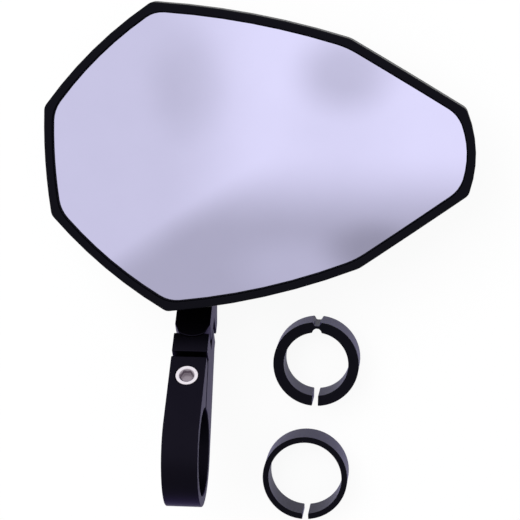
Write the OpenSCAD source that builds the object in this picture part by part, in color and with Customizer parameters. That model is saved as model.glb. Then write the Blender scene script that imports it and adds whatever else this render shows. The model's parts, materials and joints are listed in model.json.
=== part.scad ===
// Handlebar mirror with a folding arm and two loose reducer rings, lying on its back.
// The origin is the centre of the clamp's bore. +X runs along the handlebar, +Y towards
// the top of the mirror, and +Z straight up from the surface that the mirror lies on.

/* [Clamp] */
// Bore of the relaxed clamp
bore_d = 29.4; // [26:0.1:34]
// Wall of the clamp's ring
clamp_wall = 3.5; // [2.4:0.1:5]
// Width of the clamp and of the arm, along the handlebar
clamp_w = 12; // [10:0.5:20]
// Slope of the arm, down from the clamp towards the mirror
arm_lean = 48; // [44:1:52]
// Width of the slit through the clamp's jaw
slit_w = 1.6; // [1:0.1:3]
// Direction of the slit, up from the arm's own direction
slit_turn = 26; // [22:1:30]
// Length of the front jaw past the bolt's centre
jaw_len = 7.7; // [6:0.1:12]
// Width of the gap across the front face, past the jaw's end
jaw_gap = 2; // [1:0.1:3]

/* [Clamp bolt] */
// Wall between the bore and the bolt's thread insert
bolt_wall = 0.75; // [0.3:0.05:3]
// Shank diameter of the bolt
bolt_d = 5; // [4:0.5:6]
// Head diameter of the bolt
bolt_head_d = 7.6; // [7:0.1:9]
// Head height of the bolt
bolt_head_h = 3.2; // [2.5:0.1:4]
// Key size of the bolt's hexagon socket
bolt_key = 4; // [2.5:0.5:4.5]
// Depth of the chamfer at the mouth of the socket
key_chamfer = 0.6; // [0.2:0.1:0.8]
// Length of the bolt's shank
bolt_len = 15; // [14:0.5:16]
// Wall of the steel thread insert
insert_wall = 0.5; // [0.4:0.1:1.5]
// Length of the thread insert
insert_len = 7; // [5:0.5:8]

/* [Fold hinge] */
// Length of the arm from the gap at the jaw to the hinge's front shoulder
neck_len = 7.5; // [5:0.1:20]
// Distance that each lapped half's round end stands out past half the arm's width
lap_over = 1.45; // [1:0.05:2]
// Height of the hinge's lowest corner above the surface
arm_lift = 4.64; // [4:0.01:10]
// Thickness of the washer between the lapped halves
lap_gap = 1; // [0.6:0.1:1.6]
// Thickness of the arm at the hinge, back from its front face
hinge_t = 17.6; // [15:0.1:20]
// Amount that a lapped half narrows at each side of its end
lap_taper = 1.5; // [0.5:0.1:2]
// Diameter of the pivot screw's shank
pivot_d = 5; // [4:0.5:6]
// Diameter of the pivot screw's head
pivot_head_d = 8.5; // [7.5:0.1:9]
// Height of the pivot screw's head
pivot_head_h = 2.4; // [2:0.1:3]
// Key size of the pivot screw's socket
pivot_key = 3; // [2:0.5:4]
// Distance from the hinge washer's edge to the arm's sides
washer_inset = 0.5; // [0.2:0.1:2]
// Thickness of each disc spring
disc_t = 0.6; // [0.4:0.1:0.8]

/* [Ball joint] */
// Distance from the fold pivot to the ball, along Y
link_len = 42.9; // [40:0.1:60]
// Diameter of the ball
ball_d = 11; // [9:0.1:14]
// Diameter of the stud's neck
neck_d = 5.6; // [4:0.1:5.8]
// Thickness of the liner around the ball
liner_t = 0.8; // [0.6:0.1:0.9]
// Angle from the stud to the edges of the liner and of the retaining ring's seat
seat_edge = 50; // [49:1:54]
// Wall of the retaining ring around the ball's seat
ring_wall = 2.1; // [1.5:0.1:4]
// Wall of the socket around the retaining ring
socket_wall = 1.65; // [1.2:0.05:4]
// Diameter of the stud's shank in the link
shank_d = 6; // [5:0.5:6]
// Length of the stud's shank in the link
shank_len = 9; // [6:0.5:9.5]
// Key size of the stud's nut
nut_key = 8; // [8:0.5:10]
// Thickness of the stud's nut
nut_t = 2.4; // [2:0.1:3]

/* [Mirror head] */
// Height of the rim's front face above the surface
head_h = 32; // [32:0.5:36]
// Width of the rim around the glass
rim_w = 2.9; // [2.4:0.1:4]
// Thickness of the bezel's lip over the glass
lip_t = 1.2; // [0.8:0.1:1.4]
// Wall of the bezel outside the glass
bezel_wall = 1.5; // [1:0.1:1.8]
// Length of the rounding at each corner of the rim's opening
corner_cut = 3.5; // [1:0.1:5]
// Length of the rounding at each outer corner of the rim
outer_cut = 1.1; // [0.5:0.1:3.5]
// Thickness of the glass
glass_t = 2; // [1.5:0.1:4]
// Thickness of the adhesive pad behind the glass
pad_t = 0.8; // [0.5:0.1:2]
// Thickness of the plate that carries the pad and the glass
carrier_t = 1; // [0.8:0.1:3]
// Distance from the outline to the adhesive pad's edge
pad_inset = 7; // [5:0.5:15]
// Wall of the housing
wall = 2.2; // [1.6:0.1:3.5]
// Size of the housing's flat back, as a share of the outline
back_share = 0.68; // [0.64:0.01:0.75]
// Room at each side of the arm, in the pocket where it reaches into the housing
pocket_room = 8.5; // [7:0.1:12]
// Height of the ribs on the housing's floor
rib_h = 6; // [3:0.5:9]

/* [Reducer rings] */
// Outer diameter of both reducers
reducer_d = 29.5; // [26:0.1:34]
// Length of both reducers
reducer_len = 12.4; // [8:0.1:20]
// Handlebar size that the thick reducer fits
thick_bore_d = 22.2; // [19:0.1:23]
// Handlebar size that the thin reducer fits
thin_bore_d = 25.4; // [24:0.1:26]
// Width of each reducer's slit
reducer_slit = 2; // [1:0.1:4]
// Width of the two relief grooves opposite the thick reducer's slit
groove_w = 3.2; // [2:0.1:5]
// Wall left between the relief grooves
groove_web = 0.9; // [0.6:0.1:1.5]

/* [Clearances] */
// Radial clearance of a turning fit
run_gap = 0.05; // [0.03:0.01:0.1]
// Clearance around a piece that sits in a pocket
seat_gap = 0.3; // [0.2:0.05:0.5]

/* [Hidden] */
$fn = 64;
eps = 0.1;

// Corners of the rim from the ball's centre, clockwise from the top left, and how far each edge bows out
rim_corners = [[-12.7, 77.5], [52.4, 66.2], [90.4, 44], [91.7, 15.6],
    [56.5, -9.3], [-7.9, -25.4], [-46.5, 6.5], [-48.5, 42.6]];
rim_bows = [2, 0.1, 2.8, 0.1, 2.4, 2.1, 0.9, 2.2];
edge_steps = 6;
corner_steps = 4;

// Where the loose reducers lie, and how far they are turned
thick_at = [41.3, 24.4];
thick_turn = -0.9;
thin_at = [37.9, -16.3];
thin_turn = 1;

// Sizes of the clamp and arm, in the arm's frame: x along the bar, y along the arm, z out of its face.
// The arm's flat face runs a hair under the top of the ring's curve.
bore_r = bore_d / 2;
clamp_r = bore_r + clamp_wall;
bolt_hole_d = bolt_d + 0.4;
insert_d = bolt_d + 2 * (run_gap + insert_wall);
bolt_at = bore_r + bolt_wall + insert_d / 2;
jaw_end = bolt_at + jaw_len;
shoulder = clamp_w / 2 + 0.3;
pivot_at = jaw_end + jaw_gap + neck_len + shoulder;
face_n = clamp_r - 0.02;
hinge_back = face_n - hinge_t;
lap_mid = face_n - hinge_t / 2;
lap_low = lap_mid - lap_gap / 2;
lap_high = lap_mid + lap_gap / 2;
lap_end_r = clamp_w / 2 + lap_over;
lap_reach = sqrt(pow(lap_end_r, 2) - pow(clamp_w / 2 - lap_taper, 2));
lap_gap_r = lap_end_r + 0.25;
taper_from = 2.5;
back_slope = atan2(hinge_back, pivot_at) + asin(face_n / norm([pivot_at, hinge_back]));
back_touch = face_n * [sin(back_slope), -cos(back_slope)];
slit_len = norm([jaw_end + jaw_gap, clamp_r - 4]);
bolt_seat = clamp_r - bolt_head_h - 0.1;
bolt_end = bolt_seat - bolt_len;
insert_top = tan(slit_turn) * (bolt_at - insert_d / 2) - slit_w / cos(slit_turn) - 0.5;
bolt_hole_end = min(bolt_end, insert_top - insert_len) - 0.5;

// Sizes of the ball joint, measured from the ball's centre towards the arm
ball_r = ball_d / 2;
liner_in_r = ball_r + run_gap;
liner_out_r = liner_in_r + liner_t;
seat_r = liner_out_r + run_gap;
ring_d = 2 * (seat_r + ring_wall);
ring_out = seat_r + ring_wall;
ring_in = 0.3;
ring_mouth_r = seat_r + 0.2;
socket_d = ring_d + 2 * (run_gap + socket_wall);
cup_out_r = ring_d / 2 - 0.1;
cup_back = -seat_r - 0.6;
spring_back = cup_back - 3 * disc_t;
socket_back = spring_back - 2.4;

// Sizes of the link and of the socket's feet, on the surface's own levels
table_z = hinge_back * cos(arm_lean) - (pivot_at + lap_end_r) * sin(arm_lean) - arm_lift;
ball_y = pivot_at * cos(arm_lean) + link_len;
ball_h = wall + 0.6 + socket_d / 2;
socket_z = table_z + ball_h;
foot_h = 2.3;
link_top_h = ball_h + 4.2;
link_end = ball_y - ring_out - 8.5;
pivot_tip = clamp_r - 2.5;
pivot_seat = hinge_back + pivot_head_h + 0.2 + 2 * disc_t;

foot_bottom_h = ball_h - 7.8;
foot_t = 3;
foot_y = [ball_y - 1, ball_y + 10];
screw_d = 3;
screw_head_d = 5;
screw_head_h = 2;
screw_len = 6;
screw_x = socket_d / 2 + screw_head_d / 2 + 0.1;
screw_ys = [foot_y[0] + 2.6, foot_y[1] - 2.6];
boss_r = 3.2;
foot_x = screw_x + boss_r;

// Levels of the mirror head
bezel_h = lip_t + glass_t + pad_t + carrier_t;
bezel_back = head_h - bezel_h;
glass_front = head_h - lip_t;
glass_back = glass_front - glass_t;
pad_back = glass_back - pad_t;
glass_inset = bezel_wall + seat_gap;
flange_t = 2;
flange_w = 4.5;
pocket_top = bezel_back - flange_t;
pocket_end = ball_y - ring_out - 1.5;
back_centre = [-5, ball_y + 9];

function unit(v) = v / norm(v);
function corner(i) = [0, ball_y] + rim_corners[(i + 8) % 8];
function inward(i) = let (along = unit(corner(i + 1) - corner(i))) [along[1], -along[0]];
function inset_corner(i, d) =
    let (a = inward(i - 1), b = inward(i)) corner(i) + d * (a + b) / (1 + a * b);

// A point on a rim edge: t runs from one corner to the next, and the edge bows outwards
function edge_point(i, t, d) =
    let (p = inset_corner(i, d), q = inset_corner(i + 1, d))
    p + t * (q - p) - inward(i) * rim_bows[i] * 4 * t * (1 - t);

// The length of a corner's rounding, which grows from the rim's outside to its opening
function cut_at(d) = outer_cut + (corner_cut - outer_cut) * min(1, d / rim_w);

// The share of an edge that its corner's rounding takes
function cut_share(i, d) = cut_at(d) / norm(inset_corner(i + 1, d) - inset_corner(i, d));

function corner_point(i, t, d) =
    let (before = (i + 7) % 8)
    let (p = edge_point(before, 1 - cut_share(before, d), d))
    let (q = edge_point(i, cut_share(i, d), d))
    (1 - t) * (1 - t) * p + 2 * t * (1 - t) * inset_corner(i, d) + t * t * q;

// The head's outline, moved in by d
function outline(d) = [for (i = [0:7]) each concat(
    [for (k = [0:corner_steps]) corner_point(i, k / corner_steps, d)],
    [for (k = [1:edge_steps - 1])
        let (c = cut_share(i, d)) edge_point(i, c + (1 - 2 * c) * k / edge_steps, d)])];

function back_corner(i, d) = back_centre + back_share * (inset_corner(i, d) - back_centre);
function to_arm(y, z) =
    [y * cos(arm_lean) - z * sin(arm_lean), y * sin(arm_lean) + z * cos(arm_lean)];

module in_arm_frame() { rotate([-arm_lean, 0, 0]) children(); }

// Turns an outline drawn along the arm and out of its face into a bar across the arm
module across(width) { rotate([90, 0, 90]) linear_extrude(width, center = true) children(); }

module at_level(h) { translate([0, 0, table_z + h]) children(); }

// A round piece about the stud's axis: its outline runs outwards, then towards the arm
module around_stud(turned = 0) {
    translate([0, ball_y, socket_z]) rotate([90, 0, 0]) rotate([0, 0, turned]) children();
}

module hexagon(key) { circle(d = key / cos(30), $fn = 6); }

module tube(outer_d, inner_d, h) {
    difference() {
        cylinder(d = outer_d, h = h);
        translate([0, 0, -eps]) cylinder(d = inner_d, h = h + 2 * eps);
    }
}

// Plan of one lapped half of the hinge, from the pivot to its tapered round end
module lap_plan() {
    half = clamp_w / 2;
    intersection() {
        circle(r = lap_end_r);
        polygon([[-half, 0], [-half, taper_from], [2 * lap_taper - half, 2 * lap_reach - taper_from],
            [half - 2 * lap_taper, 2 * lap_reach - taper_from], [half, taper_from], [half, 0]]);
    }
}

module clamp_side() {
    front_end = pivot_at - shoulder;
    circle(r = clamp_r);
    polygon([[0, face_n], [front_end, face_n], [front_end, lap_low], [pivot_at, lap_low],
        [pivot_at, hinge_back], back_touch, [0, 0]]);
}

module clamp_arm() {
    color("#1b1a20") in_arm_frame() difference() {
        union() {
            across(clamp_w) clamp_side();
            translate([0, pivot_at, hinge_back]) linear_extrude(lap_low - hinge_back) lap_plan();
        }
        rotate([0, 90, 0]) cylinder(r = bore_r, h = clamp_w + 2, center = true);
        across(clamp_w + 2) rotate(slit_turn) translate([0, -slit_w / 2]) square([slit_len, slit_w]);
        translate([0, jaw_end + jaw_gap / 2, clamp_r])
            cube([clamp_w + 2, jaw_gap, 2 * (clamp_r - tan(slit_turn) * jaw_end)], center = true);
        translate([0, bolt_at, bolt_seat]) cylinder(d = bolt_head_d + seat_gap, h = clamp_r);
        translate([0, bolt_at, bolt_hole_end]) cylinder(d = bolt_hole_d, h = 2 * clamp_r);
        translate([0, bolt_at, insert_top - insert_len]) cylinder(d = insert_d + 2 * run_gap, h = insert_len);
        translate([0, pivot_at, lap_low]) cylinder(r = lap_gap_r, h = clamp_r);
        translate([0, pivot_at, 0]) cylinder(d = pivot_d + 2 * run_gap, h = clamp_r);
        translate([0, pivot_at, hinge_back - clamp_r])
            cylinder(d = pivot_head_d + 2 * seat_gap, h = clamp_r + pivot_seat - hinge_back);
    }
}

module thread_insert() {
    color("#8d8c88") in_arm_frame() translate([0, bolt_at, insert_top - insert_len])
        tube(insert_d, bolt_d + 2 * run_gap, insert_len);
}

module clamp_bolt() {
    color("#d8d6d2") in_arm_frame() translate([0, bolt_at, bolt_seat]) difference() {
        union() {
            cylinder(d = bolt_head_d, h = bolt_head_h);
            translate([0, 0, -bolt_len]) cylinder(d = bolt_d, h = bolt_len + eps);
        }
        translate([0, 0, bolt_head_h - 2]) linear_extrude(3) hexagon(bolt_key);
        translate([0, 0, bolt_head_h - key_chamfer])
            cylinder(d1 = bolt_key, d2 = bolt_key + 4 * key_chamfer, h = 2 * key_chamfer);
    }
}

module link_side() {
    rear_end = pivot_at + shoulder;
    foot_z = table_z + foot_h;
    top_z = table_z + link_top_h;
    foot_from = (hinge_back * cos(arm_lean) - foot_z) / sin(arm_lean);
    top_from = (face_n * cos(arm_lean) - top_z) / sin(arm_lean);
    polygon([[rear_end, hinge_back], [foot_from, hinge_back], to_arm(link_end, foot_z),
        to_arm(link_end, top_z), [top_from, face_n], [pivot_at, face_n], [pivot_at, lap_high],
        [rear_end, lap_high]]);
}

module swing_link() {
    color("#17161b") difference() {
        in_arm_frame() difference() {
            union() {
                across(clamp_w) link_side();
                translate([0, pivot_at, lap_high]) mirror([0, 1, 0])
                    linear_extrude(face_n - lap_high) lap_plan();
            }
            translate([0, pivot_at, hinge_back - 1]) cylinder(r = lap_gap_r, h = lap_high - hinge_back + 1);
            translate([0, pivot_at, 0]) cylinder(d = pivot_d + 2 * run_gap, h = pivot_tip + 0.3);
        }
        around_stud() translate([0, 0, ball_y - link_end - eps])
            cylinder(d = shank_d + 2 * run_gap, h = shank_len + eps + 0.4);
    }
}

module fold_pivot() {
    color("#9b9a97") in_arm_frame() translate([0, pivot_at, 0]) difference() {
        union() {
            translate([0, 0, hinge_back + 0.2]) cylinder(d = pivot_head_d, h = pivot_head_h);
            translate([0, 0, hinge_back + 1]) cylinder(d = pivot_d, h = pivot_tip - hinge_back - 1);
        }
        translate([0, 0, hinge_back - 1]) linear_extrude(2.8) hexagon(pivot_key);
    }
}

module fold_washer() {
    color("#cfcabc") in_arm_frame() translate([0, pivot_at, lap_low])
        tube(clamp_w - 2 * washer_inset, pivot_d + 2 * run_gap, lap_gap);
}

// A coned spring washer, centred on its own height
module disc_spring(inner, outer) {
    half = disc_t / 2;
    rotate_extrude() polygon([[inner, -half], [inner, 0.2 * half], [outer, half], [outer, -0.2 * half]]);
}

// Two disc springs back to back, under the head of the pivot screw
module fold_springs() {
    inner = pivot_d / 2 + run_gap;
    outer = pivot_head_d / 2;
    color("#7d7c7a") in_arm_frame() for (i = [0, 1])
        translate([0, pivot_at, pivot_seat - (i + 0.5) * disc_t]) mirror([0, 0, i % 2])
            disc_spring(inner, outer);
}

module ball_stud() {
    nut_seat = ball_y - link_end;
    color("#b9b8b5") around_stud() {
        sphere(r = ball_r);
        cylinder(d = neck_d, h = nut_seat);
        translate([0, 0, nut_seat - eps]) cylinder(d = shank_d, h = shank_len);
    }
}

module stud_nut() {
    color("#a3a29e") around_stud() translate([0, 0, ball_y - link_end - nut_t - eps]) difference() {
        linear_extrude(nut_t) hexagon(nut_key);
        translate([0, 0, -eps]) cylinder(d = neck_d + 2 * run_gap, h = nut_t + 2 * eps);
    }
}

module ball_liner() {
    color("#e4e0d4") around_stud() difference() {
        sphere(r = liner_out_r);
        sphere(r = liner_in_r);
        for (side = [0, 1]) mirror([0, 0, side]) translate([0, 0, liner_in_r * cos(seat_edge)])
            cylinder(r = liner_out_r, h = liner_out_r);
    }
}

module socket_block() {
    foot_z = foot_bottom_h - ball_h;
    color("#3a3a3e") around_stud() difference() {
        union() {
            translate([0, 0, socket_back]) cylinder(d = socket_d, h = ring_out - socket_back);
            translate([-foot_x, foot_z, ball_y - foot_y[1]])
                cube([2 * foot_x, foot_t, foot_y[1] - foot_y[0]]);
        }
        translate([0, 0, spring_back]) cylinder(d = ring_d + 2 * run_gap, h = ring_out - spring_back + eps);
        for (x = [-screw_x, screw_x], y = screw_ys) translate([x, foot_z - eps, ball_y - y])
            rotate([-90, 0, 0]) cylinder(d = screw_d + 0.4, h = foot_t + 2 * eps);
    }
}

module retaining_ring() {
    seat_z = seat_r * cos(seat_edge);
    color("#24242a") around_stud() difference() {
        translate([0, 0, ring_in]) cylinder(d = ring_d, h = ring_out - ring_in);
        sphere(r = seat_r);
        translate([0, 0, seat_z - eps])
            cylinder(r1 = seat_r * sin(seat_edge), r2 = ring_mouth_r, h = ring_out - seat_z + 2 * eps);
        for (turn = [0, 90]) rotate(turn) translate([0, 0, ring_out])
            cube([ring_d + 1, 2, 2.4], center = true);
    }
}

module seat_cup() {
    color("#d9d5c8") around_stud() difference() {
        translate([0, 0, cup_back]) cylinder(r = cup_out_r, h = -ring_in - cup_back);
        sphere(r = seat_r);
        translate([0, 0, cup_back - eps]) cylinder(r = seat_r * sin(seat_edge) - 1, h = ball_r);
    }
}

// Three disc springs in a stack, pressing the cup against the liner
module seat_springs() {
    inner = seat_r * sin(seat_edge) - 1;
    color("#7d7c7a") around_stud() for (i = [0:2]) translate([0, 0, cup_back - (i + 0.5) * disc_t])
        mirror([0, 0, i % 2]) disc_spring(inner, cup_out_r);
}

module socket_screws() {
    color("#b0afab") at_level(foot_bottom_h + foot_t) for (x = [-screw_x, screw_x], y = screw_ys)
        translate([x, y, 0]) difference() {
            union() {
                cylinder(d = screw_head_d, h = screw_head_h);
                translate([0, 0, -screw_len]) cylinder(d = screw_d, h = screw_len + eps);
            }
            translate([0, 0, screw_head_h - 1.2]) linear_extrude(2) hexagon(2);
        }
}

// The housing's outer form, or its hollow when moved in by the wall
module housing_form(inset, floor_h, top_h, rim_t) {
    hull() {
        at_level(top_h - rim_t) linear_extrude(rim_t) polygon(outline(inset));
        at_level(floor_h) linear_extrude(0.2) polygon([for (i = [0:7]) back_corner(i, inset)]);
    }
}

// The pocket that the arm reaches into, with its walls moved out by grow
module arm_pocket(grow) {
    width = clamp_w + 2 * (pocket_room + grow);
    at_level(-1) translate([-width / 2, 0, 0]) cube([width, pocket_end + grow, pocket_top + grow + 1]);
}

module housing_shell() {
    rib_t = 1.6;
    color("#1a191e") difference() {
        housing_form(0, 0, bezel_back, flange_t);
        arm_pocket(0);
        difference() {
            housing_form(flange_w, wall, bezel_back + eps, flange_t);
            arm_pocket(wall);
            for (x = [-screw_x, screw_x], y = screw_ys)
                at_level(0) translate([x, y, 0]) cylinder(r = boss_r, h = foot_bottom_h);
            for (x = [24, 36, 48])
                at_level(0) translate([x, 0, 0]) cube([rib_t, 2 * ball_y, wall + rib_h]);
        }
        for (x = [-screw_x, screw_x], y = screw_ys) at_level(foot_bottom_h + foot_t - screw_len - 0.3)
            translate([x, y, 0]) cylinder(d = screw_d + 2 * run_gap, h = screw_len);
        around_stud() cylinder(d = socket_d + seat_gap, h = ball_y - pocket_end + wall);
    }
}

module bezel_ring() {
    color("#131216") difference() {
        at_level(bezel_back) linear_extrude(bezel_h) polygon(outline(0));
        at_level(bezel_back - eps) linear_extrude(bezel_h - lip_t + eps) polygon(outline(bezel_wall));
        at_level(bezel_back) linear_extrude(2 * bezel_h) polygon(outline(rim_w));
    }
}

module mirror_glass() {
    color("#c9c7de") at_level(glass_back) linear_extrude(glass_t) polygon(outline(glass_inset));
}

module adhesive_pad() {
    color("#2b2b2b") at_level(pad_back) linear_extrude(pad_t) polygon(outline(pad_inset));
}

module glass_carrier() {
    color("#202024") at_level(bezel_back) linear_extrude(pad_back - bezel_back) polygon(outline(glass_inset));
}

// A split ring lying on the surface, its slit towards -Y
module reducer(inner_d) {
    at_level(0) difference() {
        tube(reducer_d, inner_d, reducer_len);
        translate([-reducer_slit / 2, -reducer_d, -eps])
            cube([reducer_slit, reducer_d, reducer_len + 2 * eps]);
        children();
    }
}

module thick_reducer() {
    ring_wall = (reducer_d - thick_bore_d) / 2;
    groove_depth = (ring_wall - groove_web) / 2;
    color("#1d1c22") translate(thick_at) rotate(thick_turn) reducer(thick_bore_d) {
        translate([0, reducer_d / 2, -eps]) linear_extrude(reducer_len + 2 * eps)
            polygon([[-groove_w / 2, eps], [-groove_w / 4, -groove_depth], [groove_w / 4, -groove_depth],
                [groove_w / 2, eps]]);
        translate([0, thick_bore_d / 2 - groove_w / 2 + groove_depth, -eps])
            cylinder(d = groove_w, h = reducer_len + 2 * eps);
    }
}

module thin_reducer() {
    color("#1d1c22") translate(thin_at) rotate(thin_turn) reducer(thin_bore_d);
}

clamp_arm();
thread_insert();
clamp_bolt();
swing_link();
fold_pivot();
fold_washer();
fold_springs();
ball_stud();
stud_nut();
ball_liner();
socket_block();
retaining_ring();
seat_cup();
seat_springs();
socket_screws();
housing_shell();
bezel_ring();
mirror_glass();
adhesive_pad();
glass_carrier();
thick_reducer();
thin_reducer();
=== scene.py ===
# %% [markdown]
# # A handlebar mirror on its back
# The object is an eight-sided mirror on a folding arm with a split clamp. It lies on its back,
# beside two loose reducer rings for thinner handlebars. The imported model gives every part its
# size and place. This lesson loads it, softens the edges of the parts that show, gives each
# part the finish of its real material, and lights everything in a white tent.

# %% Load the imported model
import json
import math

import bpy
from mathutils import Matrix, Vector


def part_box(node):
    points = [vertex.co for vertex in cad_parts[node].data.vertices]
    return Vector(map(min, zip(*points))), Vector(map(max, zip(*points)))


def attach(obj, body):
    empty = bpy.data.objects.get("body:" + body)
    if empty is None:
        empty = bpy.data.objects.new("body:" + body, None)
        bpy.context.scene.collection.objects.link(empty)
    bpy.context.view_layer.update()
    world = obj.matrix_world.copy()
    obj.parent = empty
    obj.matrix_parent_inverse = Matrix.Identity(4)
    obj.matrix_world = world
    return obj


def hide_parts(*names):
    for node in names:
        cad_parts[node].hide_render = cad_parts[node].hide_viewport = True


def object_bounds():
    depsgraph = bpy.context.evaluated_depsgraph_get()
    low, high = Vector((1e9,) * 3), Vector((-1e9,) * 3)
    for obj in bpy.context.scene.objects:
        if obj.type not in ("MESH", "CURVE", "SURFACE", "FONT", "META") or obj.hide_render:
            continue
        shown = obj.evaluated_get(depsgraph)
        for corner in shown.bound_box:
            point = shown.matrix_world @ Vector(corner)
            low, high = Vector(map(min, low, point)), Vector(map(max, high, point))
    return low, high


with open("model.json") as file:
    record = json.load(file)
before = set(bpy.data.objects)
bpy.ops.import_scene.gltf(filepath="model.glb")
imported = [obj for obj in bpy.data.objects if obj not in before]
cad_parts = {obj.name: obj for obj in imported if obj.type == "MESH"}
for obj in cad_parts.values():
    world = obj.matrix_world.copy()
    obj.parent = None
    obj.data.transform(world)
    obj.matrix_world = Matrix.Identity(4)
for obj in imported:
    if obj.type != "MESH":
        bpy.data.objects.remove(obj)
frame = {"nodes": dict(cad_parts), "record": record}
cad_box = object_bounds()
scene = bpy.context.scene
MM = 0.001
print("CAD nodes:", len(frame["nodes"]), "in a box from", cad_box[0], "to", cad_box[1])

# %% [markdown]
# ## Camera
# The photograph looks almost straight down, from a little above and to the right, through a
# long lens. Aiming a camera at a target would roll it to suit its own up direction, so the
# three turns are written down as they are, and the frame stays the photograph's own.

# %% Camera
CAMERA_AT = (81.89 * MM, 177.88 * MM, 637.78 * MM)
CAMERA_TURN = (math.radians(-9.922), math.radians(5.223), math.radians(0.38))
CAMERA_LENS = 137.69
NEAREST_MM = 10

bpy.ops.object.select_all(action="DESELECT")
bpy.ops.object.camera_add(location=CAMERA_AT, rotation=CAMERA_TURN)
camera = bpy.context.object
camera.data.lens = CAMERA_LENS
camera.data.clip_start = NEAREST_MM * MM
scene.camera = camera
print("camera at", [round(v / MM, 1) for v in camera.location], "mm")

# %% [markdown]
# ## Softened edges
# No machined or moulded part has a perfectly sharp edge. A tumbled or moulded edge is a small
# radius, and it catches the light as a thin line. One way is to model every part again, but the
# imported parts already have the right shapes. So each part that shows is copied: the copy's loose
# triangles are merged, its flat faces are joined up, and a Bevel rounds what is left of its sharp
# edges. Weighted normals then keep the flat faces flat beside the small radii.

# %% Helpers for the copies
MERGE_MM = 0.001
FLAT_DEG = 0.2
SHARP_DEG = 35


def select_only(piece):
    """Makes one object the selected and active one, as a click on it does."""
    bpy.ops.object.select_all(action="DESELECT")
    piece.select_set(True)
    bpy.context.view_layer.objects.active = piece


def merged_copy(node_name, piece_name):
    """A copy of a CAD node's mesh with its doubles merged and its flat faces joined up."""
    piece = bpy.data.objects.new(piece_name, frame["nodes"][node_name].data.copy())
    scene.collection.objects.link(piece)
    select_only(piece)
    bpy.ops.mesh.customdata_custom_splitnormals_clear()
    bpy.ops.object.mode_set(mode="EDIT")
    bpy.ops.mesh.select_all(action="SELECT")
    bpy.ops.mesh.remove_doubles(threshold=MERGE_MM * MM)
    bpy.ops.mesh.dissolve_limited(angle_limit=math.radians(FLAT_DEG))
    bpy.ops.object.mode_set(mode="OBJECT")
    return piece


def clear_selection(piece):
    """Unselects every corner, edge and face of a piece's mesh, so that code can select its own."""
    for part in (piece.data.vertices, piece.data.edges, piece.data.polygons):
        part.foreach_set("select", [False] * len(part))


def soften(piece, radius_mm, steps=3):
    """Rounds the sharp edges of a piece and keeps its flat faces flat."""
    select_only(piece)
    bevel = piece.modifiers.new("soft_edges", "BEVEL")
    bevel.width = radius_mm * MM
    bevel.segments = steps
    bevel.limit_method = "ANGLE"
    bevel.angle_limit = math.radians(SHARP_DEG)
    bevel.use_clamp_overlap = False
    bpy.ops.object.modifier_apply(modifier=bevel.name)
    bpy.ops.object.shade_smooth_by_angle(angle=math.radians(SHARP_DEG))
    flats = piece.modifiers.new("flat_faces", "WEIGHTED_NORMAL")
    flats.keep_sharp = True
    bpy.ops.object.modifier_apply(modifier=flats.name)
    print(piece.name, "has", len(piece.data.polygons), "faces after softening by", radius_mm, "mm")


# %% [markdown]
# ## Mirror head
# The rim is a moulded ring whose lip holds the glass, with a fuller radius than metal parts
# have. The glass has a ground edge, and the housing behind them is one moulded shell. The shell
# rests on its flat back, so the outline of that back gets a larger radius first. Its edges are
# found by their height: both of their ends lie on the lowest level.

# %% Rim, glass and shell
RIM_RADIUS_MM = 0.5
GLASS_RADIUS_MM = 0.2
SHELL_RADIUS_MM = 0.4
BACK_RADIUS_MM = 1.5
BACK_STEPS = 4

rim_frame = merged_copy("bezel_ring", "rim_frame")
soften(rim_frame, RIM_RADIUS_MM)
mirror_pane = merged_copy("mirror_glass", "mirror_pane")
soften(mirror_pane, GLASS_RADIUS_MM)
back_shell = merged_copy("housing_shell", "back_shell")
clear_selection(back_shell)
corners = back_shell.data.vertices
back_level = min(corner.co.z for corner in corners) + MERGE_MM * MM
for edge in back_shell.data.edges:
    edge.select = all(corners[end].co.z < back_level for end in edge.vertices)
bpy.ops.object.mode_set(mode="EDIT")
bpy.ops.mesh.select_mode(type="EDGE")
bpy.ops.mesh.bevel(offset=BACK_RADIUS_MM * MM, segments=BACK_STEPS, affect="EDGES")
bpy.ops.object.mode_set(mode="OBJECT")
soften(back_shell, SHELL_RADIUS_MM)

# %% [markdown]
# ## Painted shade at the glass's edge
# A line between the rim and the glass is blacker than the rim: the shade in a narrow gap there. It
# could be an open gap or a soft bead of rubber, and the two look alike from the front. A matt
# black bead is made to stand in for that shade, as painted shade. The inner wall of the rim's lip
# already follows its path, so a copy of the rim keeps only that wall. Its top is lowered a little
# below the rim's face, and a Solidify gives it its thickness. Two thirds of that lap over the
# rim's rounded edge, and one third covers the glass.

# %% Black bead of painted shade at the glass's edge
SHADE_BEAD_MM = 0.45
SHADE_BEAD_SIDE = -0.33
SHADE_BEAD_DROP_MM = 0.05
UPRIGHT = 0.1

glass_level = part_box("mirror_glass")[1][2]
rim_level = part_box("bezel_ring")[1][2]
# A matt black bead stands in for the shade in the gap between rim and glass: painted shade.
gap_shade_bead = merged_copy("bezel_ring", "gap_shade_bead")
clear_selection(gap_shade_bead)
corners = gap_shade_bead.data.vertices
for face in gap_shade_bead.data.polygons:
    on_lip = all(corners[corner].co.z > glass_level - MERGE_MM * MM for corner in face.vertices)
    face.select = not (on_lip and abs(face.normal.z) < UPRIGHT)
bpy.ops.object.mode_set(mode="EDIT")
bpy.ops.mesh.select_mode(type="FACE")
bpy.ops.mesh.delete(type="FACE")
bpy.ops.object.mode_set(mode="OBJECT")
for corner in gap_shade_bead.data.vertices:
    corner.co.z = min(corner.co.z, rim_level - SHADE_BEAD_DROP_MM * MM)
wall = gap_shade_bead.modifiers.new("bead", "SOLIDIFY")
wall.thickness = SHADE_BEAD_MM * MM
wall.offset = SHADE_BEAD_SIDE
wall.use_even_offset = True
bpy.ops.object.modifier_apply(modifier=wall.name)
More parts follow.
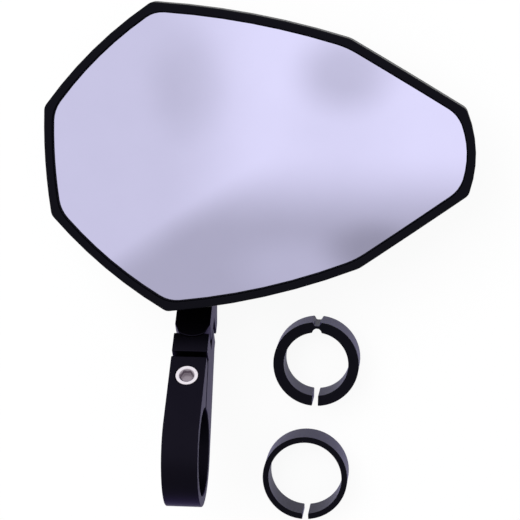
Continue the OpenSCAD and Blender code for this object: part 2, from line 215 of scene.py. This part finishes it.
bpy.ops.object.shade_smooth_by_angle(angle=math.radians(SHARP_DEG))
print("gap_shade_bead has", len(gap_shade_bead.data.polygons), "faces")

# %% [markdown]
# ## Arm, clamp and screw
# The arm's two halves and the clamp are cut from aluminium bar, and only their corners are
# broken. The screw's head has a small radius from its turning.

# %% Clamp, link and screw
ARM_RADIUS_MM = 0.3
SCREW_RADIUS_MM = 0.2

clamp_body = merged_copy("clamp_arm", "clamp_body")
soften(clamp_body, ARM_RADIUS_MM)
link_body = merged_copy("swing_link", "link_body")
soften(link_body, ARM_RADIUS_MM)
clamp_screw = merged_copy("clamp_bolt", "clamp_screw")
soften(clamp_screw, SCREW_RADIUS_MM)

# %% [markdown]
# ## Reducer rings
# Both rings are moulded nylon sleeves with a slit, so that they close up around the bar.

# %% Reducer sleeves
SLEEVE_RADIUS_MM = 0.3

thick_sleeve = merged_copy("thick_reducer", "thick_sleeve")
soften(thick_sleeve, SLEEVE_RADIUS_MM)
thin_sleeve = merged_copy("thin_reducer", "thin_sleeve")
soften(thin_sleeve, SLEEVE_RADIUS_MM)

# %% [markdown]
# ## Building materials
# Every finish is a Principled shader with a few nodes in front of it. Colours are written as
# sRGB hex values, the way a colour picker shows them, and one function makes them linear.
# One more function adds a node, sets it and links it.


# %% Material helpers
def linear(hex_colour):
    """An sRGB hex colour as the linear RGBA that shader sockets take."""
    channels = [int(hex_colour[i : i + 2], 16) / 255 for i in (1, 3, 5)]
    return [c / 12.92 if c <= 0.04045 else ((c + 0.055) / 1.055) ** 2.4 for c in channels] + [1]


def add_node(tree, kind, settings=None, links=None):
    """Adds a node; settings are its properties or input values, links feed its inputs."""
    node = tree.nodes.new(kind)
    for key, value in (settings or {}).items():
        if isinstance(key, str) and hasattr(node, key):
            setattr(node, key, value)
        else:
            node.inputs[key].default_value = value
    for key, source in (links or {}).items():
        tree.links.new(source, node.inputs[key])
    return node


def new_finish(name):
    """An empty material, its node tree and the object coordinates that its patterns read."""
    finish = bpy.data.materials.new(name)
    finish.use_nodes = True
    tree = finish.node_tree
    tree.nodes.clear()
    return finish, tree, add_node(tree, "ShaderNodeTexCoord").outputs["Object"]


def close_finish(tree, shader):
    """Links the shader to the material's output."""
    add_node(tree, "ShaderNodeOutputMaterial", links={"Surface": shader.outputs[0]})


def per_metre(size_mm):
    """The texture scale whose features are about this many millimetres across."""
    return 1 / (size_mm * MM)


def two_tone(tree, fac, first_hex, second_hex):
    """A colour that runs from the first to the second as fac goes from 0 to 1."""
    ends = {"data_type": "RGBA", 6: linear(first_hex), 7: linear(second_hex)}
    return add_node(tree, "ShaderNodeMix", ends, {0: fac}).outputs[2]


def between(tree, fac, low, high):
    """A value that runs from low to high as fac goes from 0 to 1."""
    return add_node(tree, "ShaderNodeMapRange", {"To Min": low, "To Max": high}, {"Value": fac}).outputs[0]


print("white is", linear("#ffffff"))

# %% [markdown]
# ## Black anodised aluminium
# The clamp and the arm are machined aluminium, bead-blasted and then dyed black. That gives a
# very dark blue-black with a soft violet sheen, bright only where it is seen edge on. So it is
# set as a metal: its Base Color is what it reflects straight on, and its Specular Tint is the
# sheen at its edges. The blasted grain is about a tenth of a millimetre, and it is drawn coarser
# so that it shows.

# %% Black anodised aluminium
BLAST_GRAIN_MM = 0.25
DYE_CLOUD_MM = 9
VIOLET_SHEEN = "#c8c3dd"

black_anodised, tree, place = new_finish("black_anodised_aluminium")
cloud = add_node(tree, "ShaderNodeTexNoise", {"Scale": per_metre(DYE_CLOUD_MM), "Detail": 3.0},
                 {"Vector": place})
grain = add_node(tree, "ShaderNodeTexNoise", {"Scale": per_metre(BLAST_GRAIN_MM), "Detail": 2.0},
                 {"Vector": place})
bump = add_node(tree, "ShaderNodeBump", {"Strength": 0.25, "Distance": 0.02 * MM},
                {"Height": grain.outputs["Fac"]})
shader = add_node(tree, "ShaderNodeBsdfPrincipled", {"Metallic": 1.0, "Specular Tint": linear(VIOLET_SHEEN)},
                  {"Base Color": two_tone(tree, cloud.outputs["Fac"], "#17151f", "#1b1923"),
                   "Roughness": between(tree, grain.outputs["Fac"], 0.36, 0.46),
                   "Normal": bump.outputs[0]})
close_finish(tree, shader)
print(black_anodised.name, "has", len(tree.nodes), "nodes")

# %% [markdown]
# ## Satin black ABS
# The rim is moulded in a polished tool and then sprayed satin black. Sprayed paint levels out
# with a faint orange peel, a ripple a millimetre or so across, which breaks up its reflections.
# Finer specks vary its colour and gloss, and its highlights are as violet as the aluminium's.

# %% Satin black rim
PEEL_MM = 1.1
SPECK_MM = 0.3

satin_rim, tree, place = new_finish("satin_black_sprayed_abs")
peel = add_node(tree, "ShaderNodeTexNoise", {"Scale": per_metre(PEEL_MM), "Detail": 1.0}, {"Vector": place})
speck = add_node(tree, "ShaderNodeTexNoise", {"Scale": per_metre(SPECK_MM), "Detail": 2.0}, {"Vector": place})
bump = add_node(tree, "ShaderNodeBump", {"Strength": 0.2, "Distance": 0.02 * MM},
                {"Height": peel.outputs["Fac"]})
shader = add_node(tree, "ShaderNodeBsdfPrincipled",
                  {"Specular IOR Level": 0.1, "Specular Tint": linear(VIOLET_SHEEN)},
                  {"Base Color": two_tone(tree, speck.outputs["Fac"], "#05050a", "#0a0a0f"),
                   "Roughness": between(tree, speck.outputs["Fac"], 0.34, 0.42),
                   "Normal": bump.outputs[0]})
close_finish(tree, shader)
print(satin_rim.name, "has", len(tree.nodes), "nodes")

# %% [markdown]
# ## Moulded black ABS
# The housing comes from a spark-eroded tool. The sparks leave small round craters, so the
# plastic is covered with tiny bumps and looks matt and even, a little greyer than the rim.

# %% Moulded black ABS
CRATER_MM = 0.45
FLOW_MM = 14

shell_plastic, tree, place = new_finish("spark_textured_black_abs")
crater = add_node(tree, "ShaderNodeTexVoronoi", {"Scale": per_metre(CRATER_MM)}, {"Vector": place})
flow = add_node(tree, "ShaderNodeTexNoise", {"Scale": per_metre(FLOW_MM), "Detail": 3.0}, {"Vector": place})
bump = add_node(tree, "ShaderNodeBump", {"Strength": 0.5, "Distance": 0.05 * MM},
                {"Height": crater.outputs["Distance"]})
shader = add_node(tree, "ShaderNodeBsdfPrincipled", {"Specular IOR Level": 0.3},
                  {"Base Color": two_tone(tree, flow.outputs["Fac"], "#0c0c0f", "#131317"),
                   "Roughness": between(tree, crater.outputs["Distance"], 0.48, 0.62),
                   "Normal": bump.outputs[0]})
close_finish(tree, shader)
print(shell_plastic.name, "has", len(tree.nodes), "nodes")

# %% [markdown]
# ## Moulded black nylon
# The reducers are glass-filled nylon. Short fibres close to the surface make it slightly
# uneven: a fine mottle in the gloss, and streaks where the melt ran round the ring. Seen edge
# on, the black has a violet sheen of its own.

# %% Moulded black nylon
FIBRE_MM = 0.35
STREAK_MM = 5
EDGE_SHEEN = "#8f82dc"

ring_nylon, tree, place = new_finish("glass_filled_black_nylon")
fibre = add_node(tree, "ShaderNodeTexNoise", {"Scale": per_metre(FIBRE_MM), "Detail": 3.0}, {"Vector": place})
streak = add_node(tree, "ShaderNodeTexNoise",
                  {"Scale": per_metre(STREAK_MM), "Detail": 2.0, "Distortion": 1.5}, {"Vector": place})
bump = add_node(tree, "ShaderNodeBump", {"Strength": 0.25, "Distance": 0.02 * MM},
                {"Height": fibre.outputs["Fac"]})
shader = add_node(tree, "ShaderNodeBsdfPrincipled",
                  {"Specular IOR Level": 0.07, "Specular Tint": linear(VIOLET_SHEEN),
                   "Sheen Weight": 0.4, "Sheen Roughness": 0.3, "Sheen Tint": linear(EDGE_SHEEN)},
                  {"Base Color": two_tone(tree, streak.outputs["Fac"], "#08080d", "#0d0c13"),
                   "Roughness": between(tree, fibre.outputs["Fac"], 0.38, 0.46),
                   "Normal": bump.outputs[0]})
close_finish(tree, shader)
print(ring_nylon.name, "has", len(tree.nodes), "nodes")

# %% [markdown]
# ## Turned stainless steel
# The clamp screw's head was faced on a lathe. The tool's feed leaves fine rings around the
# screw's axis, so the pattern is centred on the screw and turned to look along it. The feed is
# about 0.1 mm, and it is drawn coarser so that it shows. Only the face was turned, so the punched
# socket and the head's sides are rougher, and their darker colour is painted shade.

# %% Turned stainless steel
FEED_MM = 0.3
# Below the face the colour turns to painted shade, from this depth on, in this colour.
SHADE_FROM_MM = 0.12
PAINTED_SHADE_COLOUR = "#a69ca6"
WAVE_RADIANS = 20
SCREW_JOINT = next(joint for joint in frame["record"]["behaviour"]["joints"]
                   if joint["child"] == "clamp_bolt")
screw_at = Vector(SCREW_JOINT["pos_m"])
screw_axis = Vector(SCREW_JOINT["axis"])
screw_turn = screw_axis.to_track_quat("Z", "X").to_euler()
face_height = max((corner.co - screw_at).dot(screw_axis) for corner in clamp_screw.data.vertices)


def ring_scale(spacing_mm):
    """The Wave texture's scale for rings this far apart: it counts WAVE_RADIANS to the unit."""
    return 2 * math.pi / WAVE_RADIANS / (spacing_mm * MM)


turned_steel, tree, place = new_finish("turned_stainless_steel")
on_screw = add_node(tree, "ShaderNodeMapping", {"vector_type": "TEXTURE", "Location": screw_at,
                                                "Rotation": screw_turn}, {"Vector": place})
rings = add_node(tree, "ShaderNodeTexWave", {"wave_type": "RINGS", "rings_direction": "Z",
                                             "Scale": ring_scale(FEED_MM), "Distortion": 0.6},
                 {"Vector": on_screw.outputs[0]})
bump = add_node(tree, "ShaderNodeBump", {"Strength": 0.15, "Distance": 0.01 * MM},
                {"Height": rings.outputs["Fac"]})
height = add_node(tree, "ShaderNodeSeparateXYZ", links={0: on_screw.outputs[0]})
# Painted shade: below the face, in the socket and on the head's sides, the colour darkens and the steel gets
# rougher.
shade_below_face = add_node(tree, "ShaderNodeMapRange",
                  {"From Min": face_height, "From Max": face_height - SHADE_FROM_MM * MM},
                  {"Value": height.outputs["Z"]})
bright = two_tone(tree, rings.outputs["Fac"], "#ece5ed", "#f6f0f6")
colour = add_node(tree, "ShaderNodeMix", {"data_type": "RGBA", 7: linear(PAINTED_SHADE_COLOUR)},
                  {0: shade_below_face.outputs[0], 6: bright})
shader = add_node(tree, "ShaderNodeBsdfPrincipled", {"Metallic": 1.0},
                  {"Base Color": colour.outputs[2],
                   "Roughness": between(tree, shade_below_face.outputs[0], 0.24, 0.42),
                   "Normal": bump.outputs[0]})
close_finish(tree, shader)
print(turned_steel.name, "faces the head", round(face_height / MM, 2), "mm along the screw")

# %% [markdown]
# ## Plated steel and spring steel
# The stud, nut, screws and insert are zinc-plated: a bright grey with a soft, crystalline
# mottle. The disc springs are blued by their heat treatment, so they are darker and browner.

# %% Plated steel and spring steel
SPANGLE_MM = 0.6
GLOSS_SPREAD = 0.12


def mottled_steel(name, first_hex, second_hex, roughness):
    """A bright metal whose colour and gloss vary over small crystals."""
    finish, tree, place = new_finish(name)
    spangle = add_node(tree, "ShaderNodeTexVoronoi", {"Scale": per_metre(SPANGLE_MM)}, {"Vector": place})
    shader = add_node(tree, "ShaderNodeBsdfPrincipled", {"Metallic": 1.0},
                      {"Base Color": two_tone(tree, spangle.outputs["Color"], first_hex, second_hex),
                       "Roughness": between(tree, spangle.outputs["Distance"], roughness,
                                            roughness + GLOSS_SPREAD)})
    close_finish(tree, shader)
    print(name, "has crystals of", SPANGLE_MM, "mm")
    return finish


plated_steel = mottled_steel("zinc_plated_steel", "#a9a9ad", "#c9c9cc", 0.24)
spring_steel = mottled_steel("blued_spring_steel", "#5b554f", "#6f6a68", 0.3)

# %% [markdown]
# ## Natural nylon, foam and painted gap shade
# The bearing liner, the cup and the hinge's washer are undyed nylon, milky and slightly waxy. The
# pad behind the glass is closed-cell foam, matt black, with the small cells of its skin. The black
# bead at the glass's edge is painted shade: a matt, nearly black finish for the shade in the gap.

# %% Natural nylon, foam and painted gap shade
MILK_MM = 3
CELL_MM = 0.5
GAP_MOTTLE_MM = 2

natural_nylon, tree, place = new_finish("natural_nylon")
milk = add_node(tree, "ShaderNodeTexNoise", {"Scale": per_metre(MILK_MM), "Detail": 3.0}, {"Vector": place})
shader = add_node(tree, "ShaderNodeBsdfPrincipled", {"Subsurface Weight": 0.15, "Subsurface Scale": 1 * MM},
                  {"Base Color": two_tone(tree, milk.outputs["Fac"], "#cfcabc", "#e2ded2"),
                   "Roughness": between(tree, milk.outputs["Fac"], 0.4, 0.52)})
close_finish(tree, shader)

black_foam, tree, place = new_finish("closed_cell_black_foam")
cell = add_node(tree, "ShaderNodeTexVoronoi", {"Scale": per_metre(CELL_MM)}, {"Vector": place})
bump = add_node(tree, "ShaderNodeBump", {"Strength": 0.6, "Distance": 0.1 * MM},
                {"Height": cell.outputs["Distance"]})
shader = add_node(tree, "ShaderNodeBsdfPrincipled", {"Roughness": 0.9},
                  {"Base Color": two_tone(tree, cell.outputs["Distance"], "#141414", "#262626"),
                   "Normal": bump.outputs[0]})
close_finish(tree, shader)

# Painted shade: a matt, nearly black finish for the shade in the gap between rim and glass.
gap_shade_black, tree, place = new_finish("painted_gap_shade_black")
gap_mottle = add_node(tree, "ShaderNodeTexNoise", {"Scale": per_metre(GAP_MOTTLE_MM), "Detail": 3.0}, {"Vector": place})
shader = add_node(tree, "ShaderNodeBsdfPrincipled", {"Specular IOR Level": 0.02},
                  {"Base Color": two_tone(tree, gap_mottle.outputs["Fac"], "#020204", "#040408"),
                   "Roughness": between(tree, gap_mottle.outputs["Fac"], 0.6, 0.75)})
close_finish(tree, shader)
print("made", natural_nylon.name, black_foam.name, "and", gap_shade_black.name)

# %% [markdown]
# ## Silvered glass
# The mirror is glass with a silver layer, tinted pale violet-blue to cut the glare of lamps at
# night. It reflects nearly everything, so its look is the look of its surroundings. A very thin,
# uneven film on real glass softens the reflection a little more in some places than in others.

# %% Silvered glass
FILM_MM = 12

silvered_glass, tree, place = new_finish("silvered_tinted_glass")
film = add_node(tree, "ShaderNodeTexNoise", {"Scale": per_metre(FILM_MM), "Detail": 4.0}, {"Vector": place})
shader = add_node(tree, "ShaderNodeBsdfPrincipled", {"Metallic": 1.0},
                  {"Base Color": two_tone(tree, film.outputs["Fac"], "#dcd9fb", "#e0ddff"),
                   "Roughness": between(tree, film.outputs["Fac"], 0.015, 0.04)})
close_finish(tree, shader)
print(silvered_glass.name, "has", len(tree.nodes), "nodes")

# %% [markdown]
# ## Dressing the parts
# Every copy rides on the body of the part that it stands for and takes that part's place and
# finish. The black bead of painted shade stands for no part, so it only rides with the rim. The
# parts inside the head and the hinge stay as they were packed, with new finishes.

# %% Finishes for the imported parts
FINISH_OF_SLOT = {"anodised": black_anodised, "rim": satin_rim, "shell": shell_plastic,
                  "ring_plastic": ring_nylon, "nylon": natural_nylon, "foam": black_foam,
                  "steel": plated_steel, "glass": silvered_glass}
FINISH_OF_NODE = {"clamp_bolt": turned_steel, "fold_springs": spring_steel, "seat_springs": spring_steel}
slot_of = {subpart["node"]: subpart["material_slot"] for subpart in frame["record"]["subparts"]}


def dress(piece, node_name):
    """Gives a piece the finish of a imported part."""
    piece.data.materials.clear()
    piece.data.materials.append(FINISH_OF_NODE.get(node_name, FINISH_OF_SLOT[slot_of[node_name]]))


for node_name, part in frame["nodes"].items():
    dress(part, node_name)
print("dressed", len(frame["nodes"]), "packed parts")

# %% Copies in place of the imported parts
STANDS_FOR = [(rim_frame, "bezel_ring"), (mirror_pane, "mirror_glass"), (back_shell, "housing_shell"),
              (clamp_body, "clamp_arm"), (link_body, "swing_link"), (clamp_screw, "clamp_bolt"),
              (thick_sleeve, "thick_reducer"), (thin_sleeve, "thin_reducer")]
body_of = {node: body for body, nodes in frame["record"]["behaviour"]["bodies"].items() for node in nodes}

for piece, node_name in STANDS_FOR:
    dress(piece, node_name)
    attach(piece, body_of[node_name])
    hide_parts(node_name)
# The black bead of painted shade for the rim-glass gap rides with the rim.
gap_shade_bead.data.materials.clear()
gap_shade_bead.data.materials.append(gap_shade_black)
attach(gap_shade_bead, body_of["bezel_ring"])
print("copies:", [piece.name for piece, node_name in STANDS_FOR], "and", gap_shade_bead.name)

# %% [markdown]
# ## White tent
# A mirror can only be photographed by choosing what it sees. Here it lies in a white tent whose
# roof is uneven: its left half is a little dimmer, four small patches are dimmer and one is
# brighter, and its front is open to a dimmer room. The roof is far away, so only the direction
# of a ray counts. A place on it is written as a slope: how far a ray leans to +X and to +Y for
# each metre that it climbs.

# %% World
LOWEST_CLIMB = 0.05

world = bpy.data.worlds.new("white_tent")
scene.world = world
world.use_nodes = True
tree = world.node_tree
tree.nodes.clear()
ray = add_node(tree, "ShaderNodeTexCoord").outputs["Generated"]
parts = add_node(tree, "ShaderNodeSeparateXYZ", links={0: ray})
climb = add_node(tree, "ShaderNodeMath", {"operation": "MAXIMUM", 1: LOWEST_CLIMB}, {0: parts.outputs["Z"]})
slope = add_node(tree, "ShaderNodeVectorMath", {"operation": "DIVIDE"},
                 {0: ray, 1: climb.outputs[0]}).outputs[0]


def roof_patch(centre, reach, core, tone):
    """A soft patch of the roof: its tone in the core, fading to plain white at its reach."""
    local = add_node(tree, "ShaderNodeMapping", {"vector_type": "TEXTURE", "Location": (*centre, 1),
                                                 "Scale": (*reach, 1)}, {"Vector": slope})
    round_fade = add_node(tree, "ShaderNodeTexGradient", {"gradient_type": "SPHERICAL"},
                          {"Vector": local.outputs[0]})
    return add_node(tree, "ShaderNodeMapRange", {"interpolation_type": "SMOOTHSTEP", "From Max": 1 - core,
                                                 "To Min": 1.0, "To Max": tone},
                    {"Value": round_fade.outputs["Fac"]}).outputs[0]


def roof_edge(across, start, end):
    """How far a place is past a straight soft edge across the roof, from 0 at start to 1 at end."""
    along = add_node(tree, "ShaderNodeVectorMath", {"operation": "DOT_PRODUCT", 1: (*across, 0)}, {0: slope})
    return add_node(tree, "ShaderNodeMapRange", {"interpolation_type": "SMOOTHSTEP", "From Min": start,
                                                 "From Max": end},
                    {"Value": along.outputs["Value"]}).outputs[0]


print("a ray that climbs less than", LOWEST_CLIMB, "counts as climbing that much")

# %% [markdown]
# The roof is put together from these soft shapes. Only reflections see it: the camera itself
# sees plain white, and the light that falls on everything else is even and a little dimmer.

# %% Roof of the tent
FRONT_TONE = 0.56
FRONT_EDGE = ((0, -1), 0.118, 0.163)
FRONT_SIDE = ((0.58, -0.81), 0.03, 0.062)
LEFT_HALF = ((-0.24, -0.11), (0.16, 0.22), 0.62, 0.79)
SMALL_PATCHES = [((-0.054, -0.112), (0.045, 0.040), 0.1, 0.94),
                 ((-0.128, -0.087), (0.028, 0.038), 0.2, 0.88),
                 ((-0.048, -0.080), (0.034, 0.028), 0.2, 0.74),
                 ((-0.032, -0.170), (0.034, 0.020), 0.2, 0.73),
                 ((-0.074, -0.181), (0.040, 0.024), 0.2, 1.14)]
AMBIENT = 0.7

front_share = add_node(tree, "ShaderNodeMath", {"operation": "MULTIPLY"},
                       {0: roof_edge(*FRONT_EDGE), 1: roof_edge(*FRONT_SIDE)})
front = between(tree, front_share.outputs[0], 1.0, FRONT_TONE)
roof = add_node(tree, "ShaderNodeMath", {"operation": "MINIMUM"},
                {0: front, 1: roof_patch(*LEFT_HALF)}).outputs[0]
for patch in SMALL_PATCHES:
    roof = add_node(tree, "ShaderNodeMath", {"operation": "MULTIPLY"},
                    {0: roof, 1: roof_patch(*patch)}).outputs[0]
path = add_node(tree, "ShaderNodeLightPath")
mirrored = add_node(tree, "ShaderNodeMath", {"operation": "MAXIMUM"},
                    {0: path.outputs["Is Glossy Ray"], 1: path.outputs["Is Transmission Ray"]})
lit = between(tree, path.outputs["Is Camera Ray"], AMBIENT, 1.0)
strength = add_node(tree, "ShaderNodeMix", {"data_type": "FLOAT"}, {0: mirrored.outputs[0], 2: lit, 3: roof})
background = add_node(tree, "ShaderNodeBackground", {"Color": linear("#ffffff")},
                      {"Strength": strength.outputs[0]})
add_node(tree, "ShaderNodeOutputWorld", links={"Surface": background.outputs[0]})
print(world.name, "has", len(tree.nodes), "nodes")

# %% [markdown]
# ## Floor and lamp
# The floor is white paper. A camera would see it a little grey, so most of what the camera and
# reflections see of it is its own white, and the rest keeps the object's faint shadow. One large
# soft lamp from the upper left gives the shadow a side.

# %% Floor
FLOOR_GAP_MM = 0.02
FLOOR_SIDE = 4
OWN_WHITE = 0.92

bpy.ops.object.select_all(action="DESELECT")
bpy.ops.mesh.primitive_plane_add(size=FLOOR_SIDE, location=(0, 0, cad_box[0][2] - FLOOR_GAP_MM * MM))
floor = bpy.context.object
floor.name = "paper_floor"
white_paper, tree, _ = new_finish("white_paper")
path = add_node(tree, "ShaderNodeLightPath")
seen = add_node(tree, "ShaderNodeMath", {"operation": "MAXIMUM"},
                {0: path.outputs["Is Camera Ray"], 1: path.outputs["Is Glossy Ray"]})
seen = add_node(tree, "ShaderNodeMath", {"operation": "MAXIMUM"},
                {0: seen.outputs[0], 1: path.outputs["Is Transmission Ray"]})
share = add_node(tree, "ShaderNodeMath", {"operation": "MULTIPLY", 1: OWN_WHITE}, {0: seen.outputs[0]})
paper = add_node(tree, "ShaderNodeBsdfDiffuse", {"Color": linear("#f4f4f6")})
glow = add_node(tree, "ShaderNodeEmission", {"Color": linear("#ffffff"), "Strength": 1.0})
mixed = add_node(tree, "ShaderNodeMixShader",
                 links={0: share.outputs[0], 1: paper.outputs[0], 2: glow.outputs[0]})
close_finish(tree, mixed)
floor.data.materials.append(white_paper)
print("floor at", round(floor.location.z / MM, 2), "mm")

# %% Lamp
LAMP_AT = Vector((-0.35, 0.55, 0.9))
LAMP_AIM = Vector((0.02, 0.07, 0))
LAMP_SIZE = 0.8
LAMP_POWER = 9

bpy.ops.object.light_add(type="AREA", location=LAMP_AT)
lamp = bpy.context.object
lamp.name = "soft_lamp"
lamp.data.size = LAMP_SIZE
lamp.data.energy = LAMP_POWER
lamp.rotation_euler = (LAMP_AIM - LAMP_AT).to_track_quat("-Z", "Y").to_euler()
lamp.visible_glossy = False
print("lamp of", LAMP_POWER, "W,", LAMP_SIZE, "m across")

# %% [markdown]
# ## Finishing
# The Standard view keeps colours as they are written.

# %% Settings
scene.view_settings.view_transform = "Standard"
